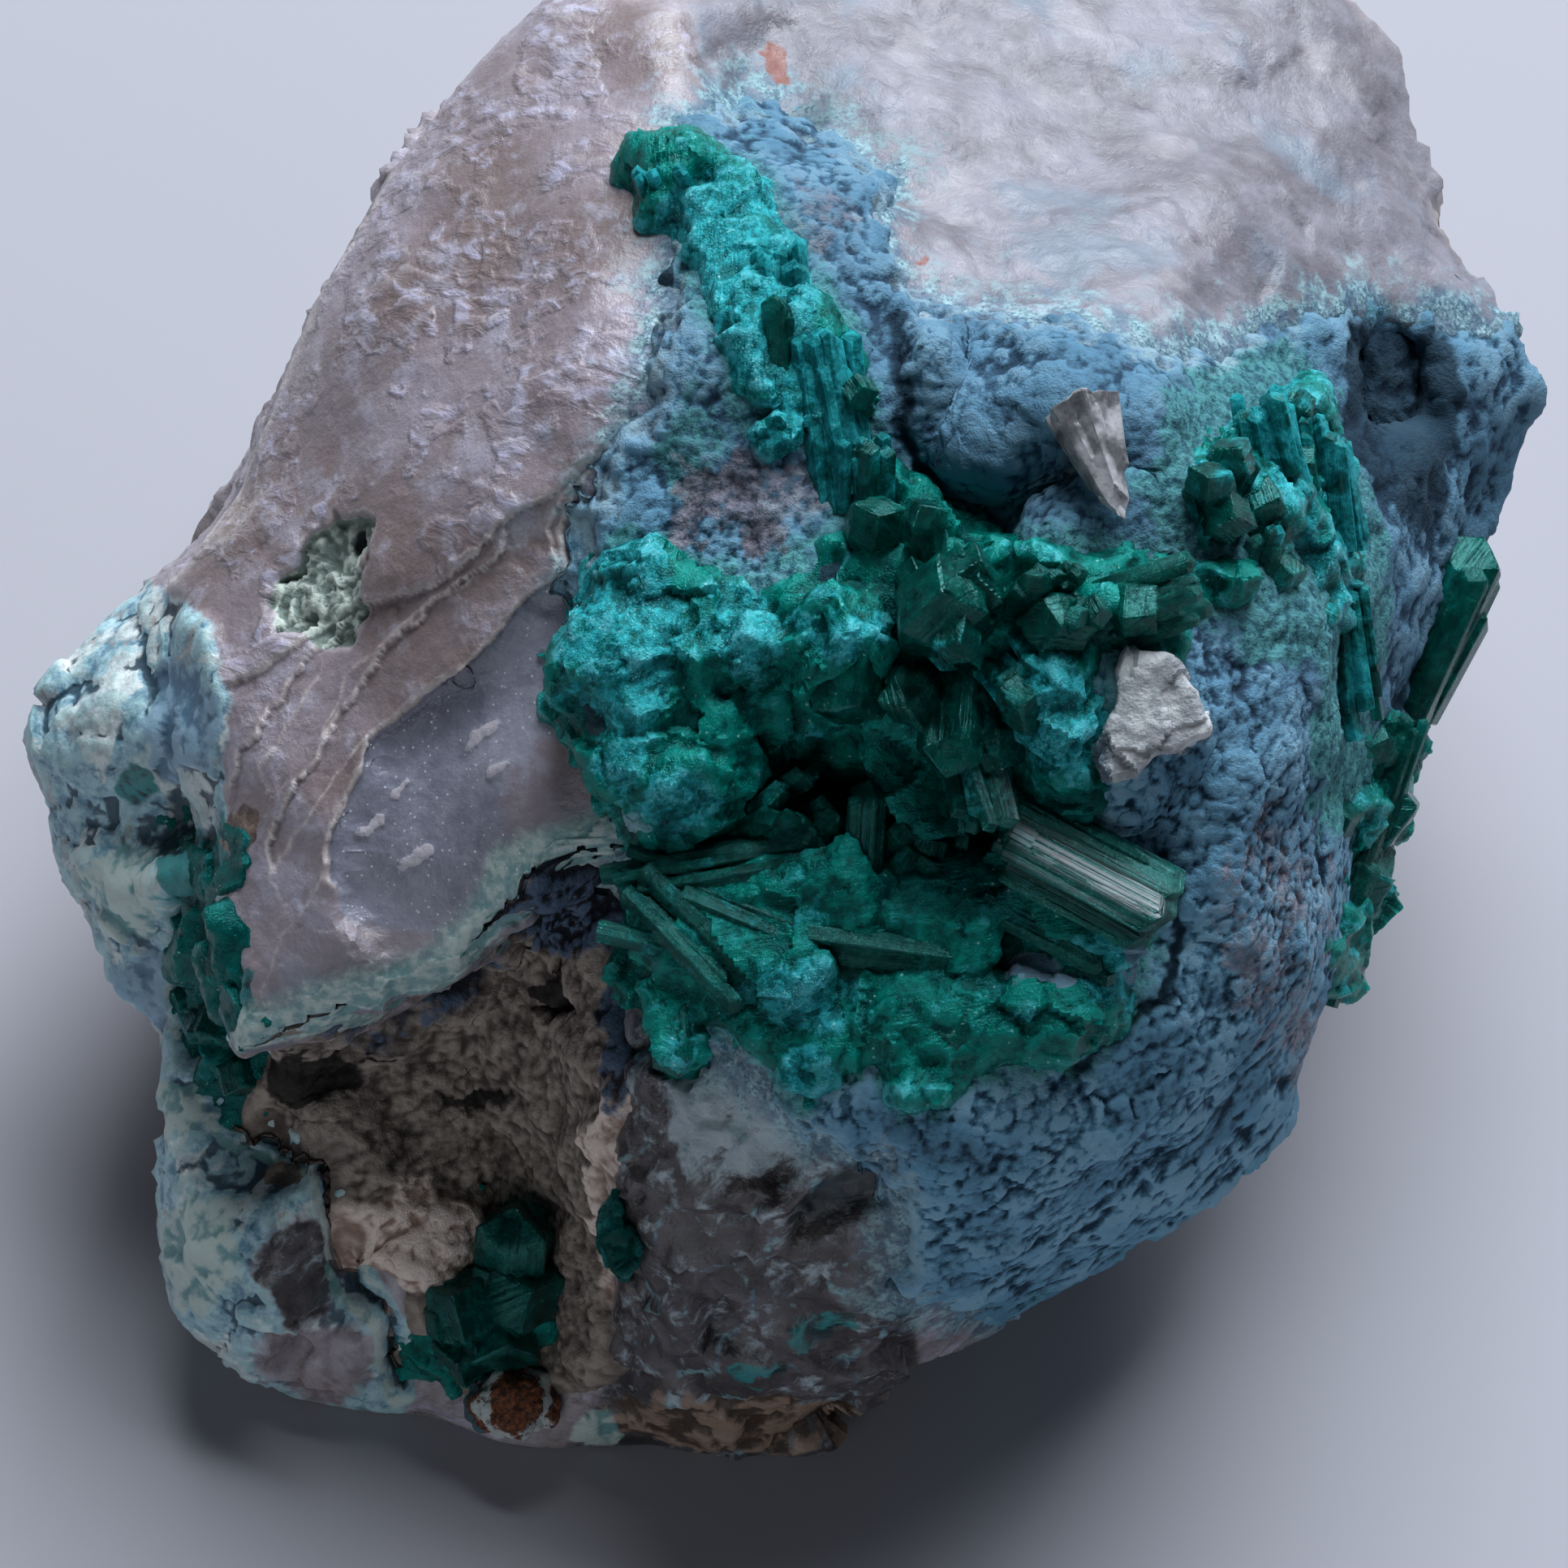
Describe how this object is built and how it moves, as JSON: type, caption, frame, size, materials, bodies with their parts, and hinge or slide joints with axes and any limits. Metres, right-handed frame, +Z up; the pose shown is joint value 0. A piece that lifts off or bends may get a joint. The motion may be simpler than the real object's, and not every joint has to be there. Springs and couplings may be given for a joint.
{
  "type": "mineral specimen",
  "caption": "Broken block of grey quartz with a knobbly blue crust, clay-lined pocket and emerald-green prismatic crystals, lying on a flat face.",
  "frame": {"origin": "under the middle of the stone, on the flat broken face that it lies on", "axes": "+Z up; -Y towards the viewer, where the show face looks down over the front; +X to the viewer's right"},
  "size_m": [0.0702, 0.0711, 0.0492],
  "materials": {
    "quartz": "satin",
    "crust": "matte",
    "clay": "matte",
    "emerald": "polished",
    "chip": "satin",
    "clear_quartz": "polished",
    "nodule": "matte"
  },
  "bodies": {
    "root": {"quartz_matrix": "quartz", "blue_crust": "crust", "clay_lining": "clay", "crystal_cluster": "emerald", "crystals_flank": "emerald", "crystals_rim": "emerald", "crystal_edge": "emerald", "crystals_pocket": "emerald", "crystals_left": "emerald", "crystal_vein": "emerald", "quartz_chip": "chip", "quartz_point": "clear_quartz", "brown_nodule": "nodule"}
  },
  "joints": []
}
